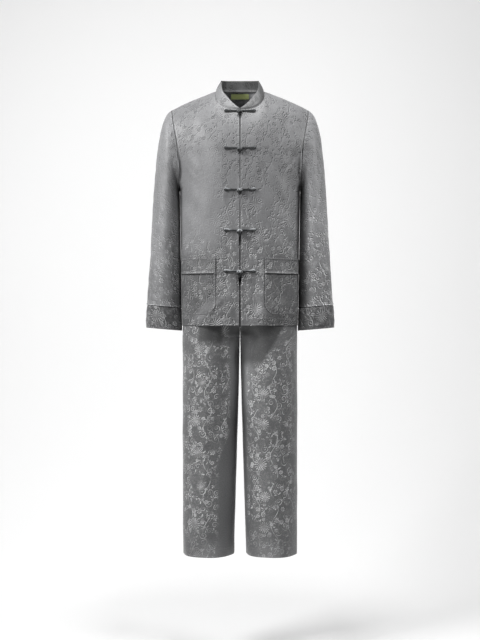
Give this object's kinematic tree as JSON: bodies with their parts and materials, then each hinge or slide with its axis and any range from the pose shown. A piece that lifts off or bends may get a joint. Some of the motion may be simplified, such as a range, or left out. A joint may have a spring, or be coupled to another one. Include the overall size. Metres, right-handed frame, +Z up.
{
  "type": "two-piece pyjama set",
  "caption": "Stand-collar pyjama jacket with knotted frog fastenings and patch pockets, worn over matching straight trousers, filled out as on a wearer.",
  "frame": {"origin": "centre of the neck, level with the two side neck points, where the wearer's neck and shoulders carry the set", "axes": "+Z up, the garment's front faces -Y, +X is the wearer's left"},
  "size_m": [0.6052, 0.2738, 1.5185],
  "materials": {
    "jacket_silk": "satin jacquard",
    "cuff_silk": "satin jacquard",
    "trouser_silk": "satin jacquard",
    "frog_cord": "bound silk",
    "label_cloth": "matt weave"
  },
  "bodies": {
    "root": {"front_left": "jacket_silk", "front_right": "jacket_silk", "back_panel": "jacket_silk", "sleeve_left": "jacket_silk", "sleeve_right": "jacket_silk", "cuff_left": "cuff_silk", "cuff_right": "cuff_silk", "collar_stand": "jacket_silk", "neck_label": "label_cloth", "pocket_left": "jacket_silk", "pocket_right": "jacket_silk", "pocket_band_left": "jacket_silk", "pocket_band_right": "jacket_silk", "frog_loop_1": "frog_cord", "frog_loop_2": "frog_cord", "frog_loop_3": "frog_cord", "frog_loop_4": "frog_cord", "frog_loop_5": "frog_cord", "frog_knot_1": "frog_cord", "frog_knot_2": "frog_cord", "frog_knot_3": "frog_cord", "frog_knot_4": "frog_cord", "frog_knot_5": "frog_cord", "trouser_front_left": "trouser_silk", "trouser_front_right": "trouser_silk", "trouser_back_left": "trouser_silk", "trouser_back_right": "trouser_silk", "waistband": "trouser_silk"}
  },
  "joints": []
}
